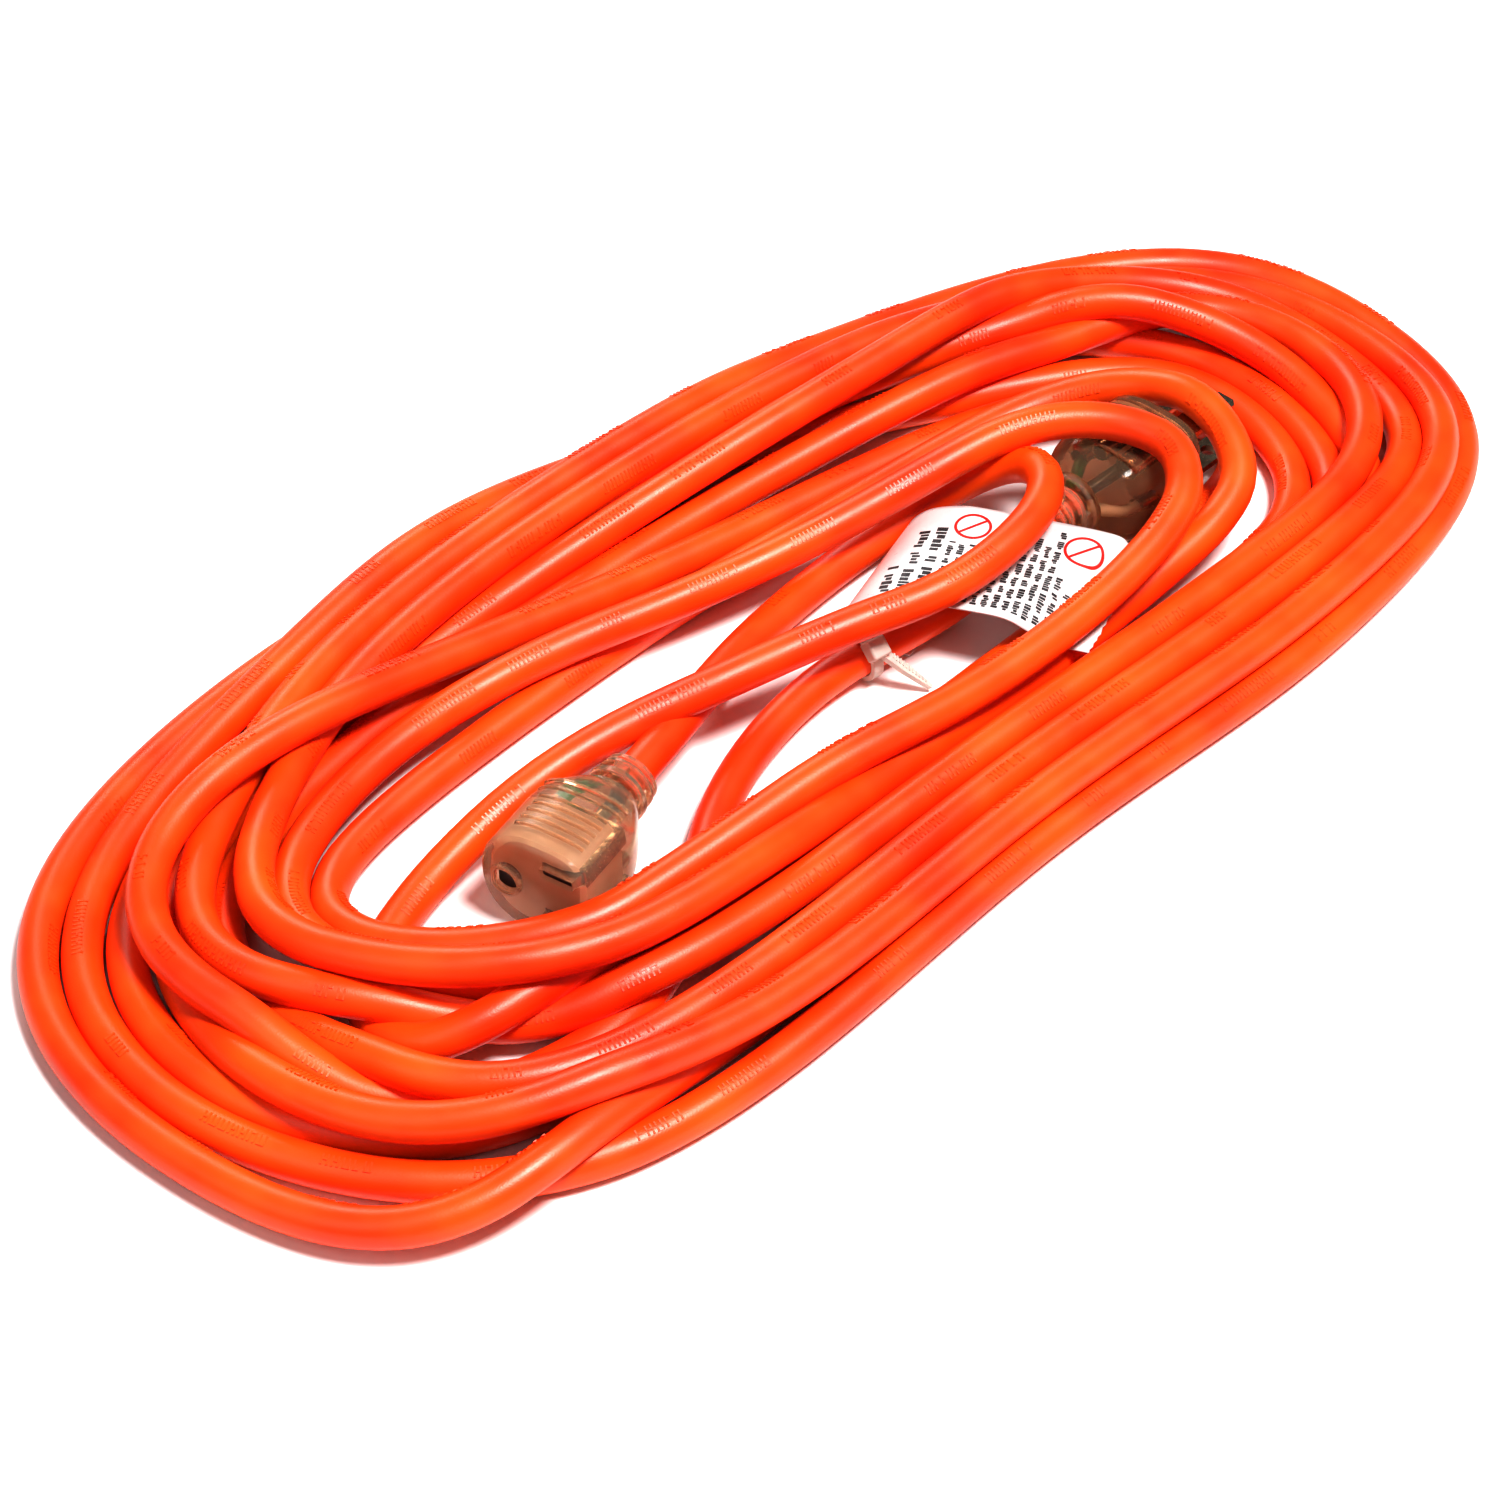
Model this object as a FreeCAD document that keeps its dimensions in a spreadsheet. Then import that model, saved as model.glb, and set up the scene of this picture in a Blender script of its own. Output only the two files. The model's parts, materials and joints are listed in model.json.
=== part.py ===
import FreeCAD, Part
import math
import os
import Sketcher
from FreeCAD import Placement, Rotation, Vector

# Grounded outdoor extension cord, wound into a loose oval hank that lies flat.
# Row frame: origin under the middle of the hank on the surface it lies on, +X along
# the hank's long axis, +Z up. Millimetres and degrees.
#
# Each moulded end has a frame of its own: origin at the centre of the front face,
# +X out of the face, Z across the two flat poles, Y across to the ground pole.

doc = FreeCAD.newDocument("extension_cord")

# ---------------------------------------------------------------- driving sizes
DIMENSIONS = [
    ("cord_diameter", 8.0, "round three-core jacket"),
    ("conductor_diameter", 2.6, "one insulated core"),
    ("strand_diameter", 1.4, "bare copper of one core"),
    ("core_offset", 1.55, "core centre from the cord's axis"),
    ("pole_pitch", 12.7, "between the two flat poles"),
    ("pole_offset", 5.95, "flat poles and ground pole, each side of the face centre"),
    ("blade_width", 6.35, "flat blade"),
    ("blade_thickness", 1.52, "flat blade"),
    ("blade_reach", 16.5, "blade beyond the face"),
    ("blade_hole", 3.2, "hole near the blade's tip"),
    ("blade_hole_reach", 11.9, "hole centre beyond the face"),
    ("pin_diameter", 4.75, "ground pin"),
    ("pin_reach", 20.5, "ground pin beyond the face, with its domed tip"),
    ("pole_root", 10.5, "poles behind the plug's face"),
    ("crimp_diameter", 3.6, "barrel that grips the copper"),
    ("crimp_length", 4.0, "barrel"),
    ("crimp_inset_y", 4.1, "barrel from the axis, along Y"),
    ("crimp_inset_z", 4.6, "barrel from the axis, along Z"),
    ("plug_length", 28.0, "plug moulding without its boot"),
    ("plug_width", 26.0, "plug moulding along Y"),
    ("plug_height", 23.0, "plug moulding along Z"),
    ("plug_boot", 9.0, "ringed boot behind the plug"),
    ("plug_jacket_depth", 28.0, "jacket's cut end behind the face"),
    ("socket_length", 27.0, "connector moulding without its boot"),
    ("socket_width", 24.0, "connector moulding along Y"),
    ("socket_height", 24.0, "connector moulding along Z"),
    ("socket_boot", 10.0, "ringed boot behind the connector"),
    ("socket_jacket_depth", 31.5, "jacket's cut end behind the face"),
    ("contact_back", 16.5, "contacts end behind the face"),
    ("contact_front", 3.0, "contacts start behind the face"),
    ("slot_height", 8.0, "slot in the front face, along Y"),
    ("slot_gap", 2.1, "slot in the front face, along Z"),
    ("ground_bore", 5.4, "round part of the ground opening"),
    ("ground_flat", 2.1, "flat of the ground opening, from its centre"),
    ("shoulder", 6.0, "sloped rear of a moulding"),
    ("corner_radius", 4.5, "long edges of a moulding"),
    ("boot_root", 13.6, "boot diameter at the moulding"),
    ("boot_tip", 11.2, "boot diameter at the cord"),
    ("tie_width", 2.5, "cable tie strap"),
    ("tie_thickness", 1.1, "cable tie strap"),
    ("tie_clearance", 0.3, "loop around the jacket"),
    ("tie_tail", 15.0, "free end of the strap"),
    ("label_width", 32.0, "flag label across"),
    ("label_thickness", 0.4, "two-ply label stock"),
    ("hank_height", 24.0, "wound turns"),
    ("saddle_height", 32.0, "turns that ride over the plug"),
]


def make_sheet():
    sheet = doc.addObject("Spreadsheet::Sheet", "Dims")
    for row, (alias, value, note) in enumerate(DIMENSIONS, start=1):
        sheet.set(f"A{row}", alias)
        sheet.set(f"B{row}", str(value))
        sheet.set(f"C{row}", note)
        sheet.setAlias(f"B{row}", alias)
    doc.recompute()
    return sheet


dims = make_sheet()


def size(alias):
    return float(dims.get(alias))


# ---------------------------------------------------------------- places
PLUG_ANGLE = 8.0
PLUG_FACE = Vector(100.0, 3.5, 11.5)
SOCKET_ANGLE = 201.0
SOCKET_FACE = Vector(-85.0, -21.5, 12.0)
PLUG_FRAME = Placement(PLUG_FACE, Rotation(Vector(0, 0, 1), PLUG_ANGLE))
SOCKET_FRAME = Placement(SOCKET_FACE, Rotation(Vector(0, 0, 1), SOCKET_ANGLE))

# The free cord from the connector: along the floor, up and back over itself in a
# tight fold above the plug's boot, then down under the turns at the left end.
SOCKET_ROUTE = [
    (-50.45, -8.24, 12.0),
    (-38.5, -3.65, 12.0),
    (-24.0, 4.5, 8.5),
    (-6.0, 13.5, 5.0),
    (18.0, 20.0, 4.2),
    (40.0, 22.5, 5.5),
    (56.0, 21.0, 10.0),
    (65.0, 14.0, 17.0),
    (66.5, 3.5, 22.8),
    (59.5, -6.0, 24.0),
    (46.0, -11.2, 23.0),
    (26.5, -12.6, 20.8),
    (4.0, -6.7, 19.2),
    (-22.0, -2.5, 17.0),
    (-48.0, 2.8, 13.5),
    (-70.0, 3.4, 10.0),
    (-92.0, -0.6, 6.0),
    (-108.0, -7.0, 4.3),
    (-119.0, -14.5, 4.1),
]

# The free cord from the plug: down to the floor, along the hole and under the turns.
PLUG_ROUTE = [
    (63.4, -1.65, 11.5),
    (52.0, -3.25, 11.5),
    (37.0, -5.6, 7.4),
    (20.0, -4.8, 5.8),
    (2.0, -4.6, 5.6),
    (-16.0, -8.5, 4.6),
    (-33.0, -16.0, 4.1),
    (-48.0, -27.0, 4.1),
    (-59.0, -40.0, 4.1),
]

# Outer and inner outline of the wound turns, and the turns that ride over the plug.
HANK_OUTER = [
    (-178, 12), (-178, -28), (-170, -62), (-148, -85), (-95, -85), (-20, -77),
    (100, -69), (150, -54), (178, -22), (178, 24), (166, 52), (128, 75),
    (60, 85), (5, 85), (-75, 80), (-130, 64), (-165, 42),
]
HANK_INNER = [
    (-120, 2), (-112, 17), (-80, 24), (-30, 25), (20, 28), (60, 29), (84, 20),
    (94, 2), (86, -20), (60, -36), (10, -39), (-40, -38), (-84, -36), (-110, -20),
]
SADDLE = [
    (78, 34), (112, 32), (130, 12), (126, -16), (100, -40), (70, -47), (58, -38),
    (84, -22), (93, 2), (83, 20),
]

# Profile of the folded flag label, across the cord: along the fold and up.
LABEL_ORIGIN = Vector(11.4, 9.0, 0)
LABEL_ANGLE = 35.0
LABEL_PROFILE = [
    (62.0, 0.9), (42.0, 0.5), (16.0, 0.6), (10.2, 6.2), (14.5, 13.0), (28.0, 16.4),
    (38.0, 16.7), (49.0, 11.0), (62.0, 2.4),
]

TIE_RUN = (3, 4)
TIE_HEAD_ANGLE = 40.0
TIE_TAIL_SKEW = 45.0


# ---------------------------------------------------------------- small helpers
def bind(piece, **expressions):
    for name, expression in expressions.items():
        piece.setExpression(name.replace("__", "."), expression)
    return piece


def put(piece, x="0", y="0", z="0"):
    return bind(piece, Placement__Base__x=x, Placement__Base__y=y, Placement__Base__z=z)


def box(name, length, width, height, x, y, z):
    """A box with one corner at x, y, z; every size is an expression."""
    piece = doc.addObject("Part::Box", name)
    bind(piece, Length=length, Width=width, Height=height)
    return put(piece, x, y, z)


def rod(name, radius, length, x, y="0", z="0"):
    """A cylinder from x, y, z along +X."""
    piece = doc.addObject("Part::Cylinder", name)
    piece.Placement = Placement(Vector(), Rotation(Vector(0, 1, 0), 90))
    bind(piece, Radius=radius, Height=length)
    return put(piece, x, y, z)


def cut(name, base, tool):
    piece = doc.addObject("Part::Cut", name)
    piece.Base = base
    piece.Tool = tool
    return piece


def join(name, pieces):
    piece = doc.addObject("Part::MultiFuse", name)
    piece.Shapes = pieces
    return piece


def fixed_shape(name, shape, place=None):
    piece = doc.addObject("Part::Feature", name)
    piece.Shape = shape
    piece.Placement = place or Placement()
    return piece


def rounded_path(points, closed=False):
    """Straight runs joined by tangent arcs as large as the two runs allow."""
    corners = [Vector(*point) for point in points]
    count = len(corners)
    inner = range(count) if closed else range(1, count - 1)
    arcs = {}
    for index in inner:
        here = corners[index]
        back = corners[index - 1] - here
        ahead = corners[(index + 1) % count] - here
        shorter = min(back.Length, ahead.Length)
        turn = math.pi - back.getAngle(ahead)
        setback = 0.45 * shorter
        radius = setback / math.tan(turn / 2)
        start = here + back * (setback / back.Length)
        end = here + ahead * (setback / ahead.Length)
        bisector = (start + end) * 0.5 - here
        bisector.normalize()
        middle = here + bisector * (radius / math.cos(turn / 2) - radius)
        arcs[index] = (start, middle, end, radius)
    edges = []
    last = arcs[count - 1][2] if closed else corners[0]
    for index in inner:
        start, middle, end, _radius = arcs[index]
        edges.append(Part.LineSegment(last, start).toShape())
        edges.append(Part.Arc(start, middle, end).toShape())
        last = end
    if not closed:
        edges.append(Part.LineSegment(last, corners[-1]).toShape())
    return Part.Wire(edges), [arc[3] for arc in arcs.values()]


def tube(points, diameter):
    """A round tube swept along a rounded path."""
    path, radii = rounded_path(points)
    start = Vector(*points[0])
    heading = Vector(*points[1]) - start
    section = Part.Wire(Part.Circle(start, heading, diameter / 2).toShape())
    solid = path.makePipeShell([section], True, True)
    expected = math.pi * diameter ** 2 / 4 * path.Length
    if abs(solid.Volume / expected - 1) > 0.02:
        raise RuntimeError("a tube's volume is not its section times its length")
    return solid, path.Length, radii


def prism(points, bottom, top):
    """A rounded outline raised from bottom to top."""
    wire, _radii = rounded_path([(x, y, bottom) for x, y in points], closed=True)
    return Part.Face(wire).extrude(Vector(0, 0, top - bottom))


# ---------------------------------------------------------------- mouldings
def rectangle_sketch(body, name, plane_role, offset, width, height):
    """A centred rectangle whose width and height follow the sheet."""
    sketch = body.newObject("Sketcher::SketchObject", name)
    plane = next(p for p in body.Origin.OriginFeatures if p.Role == plane_role)
    sketch.AttachmentSupport = [(plane, "")]
    sketch.MapMode = "FlatFace"
    sketch.setExpression("AttachmentOffset.Base.z", offset)
    across, up = 10.0, 8.0
    corners = [Vector(sx * across, sy * up, 0) for sx, sy in ((-1, -1), (1, -1), (1, 1), (-1, 1))]
    for index, corner in enumerate(corners):
        sketch.addGeometry(Part.LineSegment(corner, corners[(index + 1) % 4]), False)
    for index in range(4):
        sketch.addConstraint(Sketcher.Constraint("Coincident", index, 2, (index + 1) % 4, 1))
    for index, kind in enumerate(("Horizontal", "Vertical", "Horizontal", "Vertical")):
        sketch.addConstraint(Sketcher.Constraint(kind, index))
    sketch.addConstraint(Sketcher.Constraint("Symmetric", 0, 1, 1, 2, -1, 1))
    wide = sketch.addConstraint(Sketcher.Constraint("DistanceX", 0, 1, 0, 2, 2 * across))
    tall = sketch.addConstraint(Sketcher.Constraint("DistanceY", 1, 1, 1, 2, 2 * up))
    sketch.renameConstraint(wide, "wide")
    sketch.renameConstraint(tall, "tall")
    bind(sketch, Constraints__wide=width, Constraints__tall=height)
    return sketch


def moulding_blank(end):
    """The outside of a moulded end: a block with rounded edges and a sloped shoulder."""
    body = doc.addObject("PartDesign::Body", f"{end}_blank")
    outline = rectangle_sketch(body, f"{end}_outline", "YZ_Plane", "0",
                               f"Dims.{end}_width", f"Dims.{end}_height")
    block = body.newObject("PartDesign::Pad", f"{end}_block")
    block.Profile = outline
    block.Reversed = True
    block.setExpression("Length", f"Dims.{end}_length - Dims.shoulder")
    doc.recompute()
    long_edges = [f"Edge{index}" for index, edge in enumerate(block.Shape.Edges, start=1)
                  if edge.BoundBox.XLength > 15]
    rounding = body.newObject("PartDesign::Fillet", f"{end}_rounding")
    rounding.Base = (block, long_edges)
    rounding.setExpression("Radius", "Dims.corner_radius")
    rear = rectangle_sketch(body, f"{end}_rear", "YZ_Plane",
                            f"-(Dims.{end}_length - Dims.shoulder)",
                            f"Dims.{end}_width - 0.65 * Dims.corner_radius",
                            f"Dims.{end}_height - 0.65 * Dims.corner_radius")
    slope = body.newObject("PartDesign::Pad", f"{end}_slope")
    slope.Profile = rear
    slope.Reversed = True
    slope.setExpression("Length", "Dims.shoulder")
    slope.TaperAngle = -32.0
    body.Tip = slope
    doc.recompute()
    return body


def boot(end, label, frame):
    """A tapered boot with two rings of cut-outs, around the cord behind a moulding."""
    long = f"Dims.{end}_boot"
    start = f"-Dims.{end}_length - {long}"
    cone = doc.addObject("Part::Cone", f"{end}_boot_cone")
    cone.Placement = Placement(Vector(), Rotation(Vector(0, 1, 0), 90))
    bind(cone, Radius1="Dims.boot_tip / 2", Radius2="Dims.boot_root / 2", Height=long)
    put(cone, start)
    pieces = []
    for ring in (1, 2):
        middle = f"{start} + {long} * {ring} / 3"
        outer = rod(f"{end}_ring_outer_{ring}", "Dims.boot_root", "1.2", f"{middle} - 0.6")
        inner = rod(f"{end}_ring_inner_{ring}", "Dims.boot_tip / 2 - 0.8", "1.2", f"{middle} - 0.6")
        groove = cut(f"{end}_groove_{ring}", outer, inner)
        web = box(f"{end}_web_{ring}", "3", "3 * Dims.boot_root", "3", f"{middle} - 1.5",
                  "-1.5 * Dims.boot_root", "-1.5")
        if ring == 2:
            bind(web, Width="3", Height="3 * Dims.boot_root")
            put(web, f"{middle} - 1.5", "-1.5", "-1.5 * Dims.boot_root")
        pieces.append(cut(f"{end}_cutout_{ring}", groove, web))
    bore = rod(f"{end}_boot_bore", "Dims.cord_diameter / 2", f"{long} + 2", f"{start} - 1")
    flare = rod(f"{end}_boot_flare", "5", "3.2", f"-Dims.{end}_length - 2.8")
    hollow = join(f"{end}_boot_hollow", pieces + [bore, flare])
    piece = cut(label, cone, hollow)
    piece.Placement = frame
    return piece


def jacket_end(end, label, frame):
    """The stripped end of the orange jacket, held in the boot."""
    start = -size(f"{end}_length") - size(f"{end}_boot")
    length = -start - size(f"{end}_jacket_depth")
    solid = Part.makeCylinder(size("cord_diameter") / 2, length, Vector(start, 0, 0), Vector(1, 0, 0))
    return fixed_shape(label, solid, frame)


# ---------------------------------------------------------------- conductors
def core_places(side):
    """Where each core leaves the jacket and where its barrel sits, as (y, z) pairs."""
    offset = size("core_offset")
    inset_y, inset_z = size("crimp_inset_y"), size("crimp_inset_z")
    return {
        "line": ((-side * offset * 0.5, offset * 0.87), (-side * inset_y, inset_z)),
        "neutral": ((-side * offset * 0.5, -offset * 0.87), (-side * inset_y, -inset_z)),
        "ground": ((side * offset, 0.0), (side * size("pole_offset"), 0.0)),
    }


def conductors(end, label, side, barrel_back, frame):
    """Three insulated cores that spread from the jacket to the barrels."""
    depth = size(f"{end}_jacket_depth")
    lead = (depth - barrel_back) * 0.2
    cores = []
    strands = []
    for pole, (leave, reach) in core_places(side).items():
        route = [
            (-depth, *leave),
            (-depth + lead, *leave),
            (-barrel_back - lead, *reach),
            (-barrel_back, *reach),
        ]
        solid, _length, _radii = tube(route, size("conductor_diameter"))
        cores.append(fixed_shape(f"{label}_{pole}_wire", solid, frame))
        strands.append(Part.makeCylinder(size("strand_diameter") / 2, size("crimp_length") - 0.5,
                                         Vector(-barrel_back, *reach), Vector(1, 0, 0)))
    copper = fixed_shape(f"{label}_copper_strands", Part.makeCompound(strands), frame)
    return cores, copper


def barrel(name, front, y, z):
    """A crimp barrel: a tube whose bore holds the copper."""
    outer = rod(f"{name}_barrel_outer", "Dims.crimp_diameter / 2", "Dims.crimp_length",
                f"{front} - Dims.crimp_length", y, z)
    bore = rod(f"{name}_barrel_bore", "Dims.strand_diameter / 2", "Dims.crimp_length - 0.5",
               f"{front} - Dims.crimp_length", y, z)
    return outer, bore


# ---------------------------------------------------------------- plug
def plug_blade(pole, sign):
    """A flat blade with a hole near its tip, chamfered tip corners and a crimp barrel."""
    name = f"plug_{pole}_blade"
    plate = box(f"{name}_plate", "Dims.pole_root + Dims.blade_reach", "Dims.blade_width",
                "Dims.blade_thickness", "-Dims.pole_root",
                "-Dims.pole_offset - Dims.blade_width / 2",
                f"{sign} * Dims.pole_pitch / 2 - Dims.blade_thickness / 2")
    doc.recompute()
    tip = [(index, 1.2, 1.2) for index, edge in enumerate(plate.Shape.Edges, start=1)
           if edge.BoundBox.XMin > size("blade_reach") - 0.1 and edge.BoundBox.ZLength > 1]
    bevel = doc.addObject("Part::Chamfer", f"{name}_bevel")
    bevel.Base = plate
    bevel.Edges = tip
    outer, bore = barrel(name, "-Dims.pole_root + 1", "-Dims.crimp_inset_y",
                         f"{sign} * Dims.crimp_inset_z")
    solid = join(f"{name}_solid", [bevel, outer])
    hole = doc.addObject("Part::Cylinder", f"{name}_hole")
    bind(hole, Radius="Dims.blade_hole / 2", Height="Dims.blade_thickness + 2")
    put(hole, "Dims.blade_hole_reach", "-Dims.pole_offset",
        f"{sign} * Dims.pole_pitch / 2 - Dims.blade_thickness / 2 - 1")
    piece = cut(name, solid, join(f"{name}_holes", [hole, bore]))
    piece.Placement = PLUG_FRAME
    return piece


def plug_pin():
    """The round ground pin with a domed tip and a crimp barrel."""
    name = "plug_ground_pin"
    shank = rod(f"{name}_shank", "Dims.pin_diameter / 2",
                "Dims.pole_root + Dims.pin_reach - Dims.pin_diameter / 2",
                "-Dims.pole_root", "Dims.pole_offset")
    dome = doc.addObject("Part::Sphere", f"{name}_dome")
    bind(dome, Radius="Dims.pin_diameter / 2")
    put(dome, "Dims.pin_reach - Dims.pin_diameter / 2", "Dims.pole_offset")
    outer, bore = barrel(name, "-Dims.pole_root + 1", "Dims.pole_offset", "0")
    piece = cut(name, join(f"{name}_solid", [shank, dome, outer]), bore)
    piece.Placement = PLUG_FRAME
    return piece


def rounded_block(name, length, width, height, x, frame):
    """A block centred on the X axis, with its long edges rounded."""
    block = box(f"{name}_block", length, width, height, x, f"-({width}) / 2", f"-({height}) / 2")
    doc.recompute()
    long_edges = [(index, 1.5, 1.5) for index, edge in enumerate(block.Shape.Edges, start=1)
                  if edge.BoundBox.YLength < 0.1 and edge.BoundBox.ZLength < 0.1]
    piece = doc.addObject("Part::Fillet", f"{name}_rounded")
    piece.Base = block
    piece.Edges = long_edges
    piece.Placement = frame
    return piece


def plug_carrier(poles):
    """The inner bridge that holds the poles at their pitch."""
    block = rounded_block("plug_carrier", "6.5", "Dims.plug_width - 6", "Dims.plug_height - 4.5",
                          "-9.5", PLUG_FRAME)
    return cut("plug_blade_carrier", block, join("plug_carrier_slots", poles))


def plug():
    """Every piece of the male end."""
    poles = [plug_blade("line", 1), plug_blade("neutral", -1), plug_pin()]
    carrier = plug_carrier(poles)
    barrel_back = size("pole_root") - 1 + size("crimp_length")
    cores, copper = conductors("plug", "plug", 1, barrel_back, PLUG_FRAME)
    blank = moulding_blank("plug")
    blank.Placement = PLUG_FRAME
    inserts = join("plug_inserts", poles + cores + [carrier, copper])
    return [
        cut("plug_body", blank, inserts),
        boot("plug", "plug_strain_relief", PLUG_FRAME),
        jacket_end("plug", "plug_jacket_end", PLUG_FRAME),
        carrier,
        *poles,
        *cores,
        copper,
    ]


# ---------------------------------------------------------------- connector
def flat_contact(pole, sign):
    """A folded contact: a sleeve open to the front that a blade slides into."""
    name = f"connector_{pole}_contact"
    length = "Dims.contact_back - Dims.contact_front"
    shell = box(f"{name}_shell", length, "Dims.slot_height + 1.2", "Dims.slot_gap + 1.6",
                "-Dims.contact_back", "Dims.pole_offset - Dims.slot_height / 2 - 0.6",
                f"{sign} * Dims.pole_pitch / 2 - Dims.slot_gap / 2 - 0.8")
    gap = slot_tool(f"{name}_gap", sign)
    outer, bore = barrel(name, "-Dims.contact_back + 0.5", "Dims.crimp_inset_y",
                         f"{sign} * Dims.crimp_inset_z")
    piece = cut(name, join(f"{name}_solid", [shell, outer]), join(f"{name}_hollow", [gap, bore]))
    piece.Placement = SOCKET_FRAME
    return piece


def slot_tool(name, sign):
    """The clear way of one blade, from in front of the face to near the contact's back."""
    return box(name, "Dims.contact_back + 0.5", "Dims.slot_height", "Dims.slot_gap",
               "-Dims.contact_back + 0.5", "Dims.pole_offset - Dims.slot_height / 2",
               f"{sign} * Dims.pole_pitch / 2 - Dims.slot_gap / 2")


def ground_contact():
    """A round sleeve that the ground pin slides into."""
    name = "connector_ground_contact"
    length = "Dims.contact_back - Dims.contact_front"
    shell = rod(f"{name}_shell", "Dims.ground_bore / 2 + 0.8", length, "-Dims.contact_back",
                "-Dims.pole_offset")
    gap = rod(f"{name}_gap", "Dims.ground_bore / 2", f"{length} + 1", "-Dims.contact_back + 0.8",
              "-Dims.pole_offset")
    outer, bore = barrel(name, "-Dims.contact_back + 0.5", "-Dims.pole_offset", "0")
    piece = cut(name, join(f"{name}_solid", [shell, outer]), join(f"{name}_hollow", [gap, bore]))
    piece.Placement = SOCKET_FRAME
    return piece


def ground_tool():
    """The D-shaped way of the ground pin through the front wall."""
    round_part = rod("connector_ground_round", "Dims.ground_bore / 2", "Dims.contact_front + 2",
                     "-Dims.contact_front", "-Dims.pole_offset")
    behind_flat = box("connector_ground_behind_flat", "Dims.contact_front + 4", "4", "10",
                      "-Dims.contact_front - 1", "-Dims.pole_offset - Dims.ground_flat - 4", "-5")
    way = cut("connector_ground_way", round_part, behind_flat)
    way.Placement = SOCKET_FRAME
    return way


def connector():
    """Every piece of the female end."""
    contacts = [flat_contact("line", 1), flat_contact("neutral", -1), ground_contact()]
    ground_inside = rod("connector_ground_inside", "Dims.ground_bore / 2",
                        "Dims.contact_back - Dims.contact_front - 0.8",
                        "-Dims.contact_back + 0.8", "-Dims.pole_offset")
    inside = join("connector_ways_inside", [ground_inside, slot_tool("connector_line_slot", 1),
                                            slot_tool("connector_neutral_slot", -1)])
    inside.Placement = SOCKET_FRAME
    ways = [ground_tool(), inside]
    block = rounded_block("connector_carrier", "13", "Dims.socket_width - 3.4",
                          "Dims.socket_height - 4", "-Dims.contact_front - 13", SOCKET_FRAME)
    carrier = cut("connector_contact_carrier", block, join("connector_pockets", contacts + ways))
    barrel_back = size("contact_back") - 0.5 + size("crimp_length")
    cores, copper = conductors("socket", "connector", -1, barrel_back, SOCKET_FRAME)
    blank = moulding_blank("socket")
    blank.Placement = SOCKET_FRAME
    inserts = join("connector_inserts", contacts + ways + cores + [carrier, copper])
    return [
        cut("connector_body", blank, inserts),
        boot("socket", "connector_strain_relief", SOCKET_FRAME),
        jacket_end("socket", "connector_jacket_end", SOCKET_FRAME),
        carrier,
        *contacts,
        *cores,
        copper,
    ]


# ---------------------------------------------------------------- cord
def cord_hank():
    """The wound turns as one closed ring, with room under them for plug and label."""
    height = size("hank_height")
    ring = prism(HANK_OUTER, 0, height)
    top = [edge for edge in ring.Edges if edge.BoundBox.ZMin > height - 0.1]
    ring = ring.makeFillet(7.0, top)
    ring = ring.cut(prism(HANK_INNER, -1, height + 1))
    ring = ring.fuse(prism(SADDLE, height - 4, size("saddle_height")))
    niche = Part.makeBox(64, size("plug_width") + 3, size("plug_height") + 3,
                         Vector(-40, -size("plug_width") / 2 - 1.5, -size("plug_height") / 2 - 2))
    niche.Placement = PLUG_FRAME
    flap = Part.makeBox(size("label_width") + 3, 26, 16, Vector(-1.5, -64, -1))
    flap.Placement = label_frame()
    return fixed_shape("cord_hank", ring.cut(niche).cut(flap).removeSplitter())


def free_cords():
    """The two stretches that leave the wound turns for the ends."""
    pieces = []
    for name, route in (("connector_cord", SOCKET_ROUTE), ("plug_cord", PLUG_ROUTE)):
        solid, length, radii = tube(route, size("cord_diameter"))
        print(name, "length", round(length, 1), "arc radii", [round(radius, 1) for radius in radii])
        pieces.append(fixed_shape(name, solid))
    return pieces


# ---------------------------------------------------------------- tie and label
def tie_frame():
    start, end = (Vector(*PLUG_ROUTE[index]) for index in TIE_RUN)
    return Placement((start + end) * 0.5, Rotation(Vector(1, 0, 0), start - end))


def cable_tie():
    """A nylon strap closed round the cord, its head, and the free tail."""
    inside = size("cord_diameter") / 2 + size("tie_clearance")
    outside = inside + size("tie_thickness")
    wide = size("tie_width")
    along = Vector(1, 0, 0)
    corner = Vector(-wide / 2, 0, 0)
    loop = Part.makeCylinder(outside, wide, corner, along)
    head = Part.makeBox(wide + 2, 4.4, 3.8, Vector(-wide / 2 - 1, -2.2, inside + 0.3))
    head = head.makeFillet(0.6, head.Edges)
    tail = Part.makeBox(size("tie_tail"), wide, size("tie_thickness"), Vector(0, -wide / 2, -0.5))
    for sign in (1, -1):
        trim = Part.makeBox(9, 3, 4, Vector(0, 1.5 * (sign - 1), -2))
        trim.Placement = Placement(Vector(size("tie_tail") - 7, sign * wide / 2, 0),
                                   Rotation(Vector(0, 0, 1), -sign * 6))
        tail = tail.cut(trim)
    lean = Rotation(Vector(1, 0, 0), TIE_HEAD_ANGLE)
    head.Placement = Placement(Vector(), lean)
    swing = Rotation(Vector(0, 0, 1), TIE_TAIL_SKEW - 90)
    dip = Rotation(Vector(0, 1, 0), TIE_HEAD_ANGLE)
    start = lean.multVec(Vector(0, 0, inside + 2.2))
    tail.Placement = Placement(start, swing.multiply(dip))
    body = loop.fuse([head, tail]).cut(Part.makeCylinder(inside, 60, Vector(-30, 0, 0), along))
    return fixed_shape("cable_tie", body.removeSplitter(), tie_frame())


def label_frame():
    return Placement(LABEL_ORIGIN, Rotation(Vector(0, 0, 1), LABEL_ANGLE))


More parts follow.
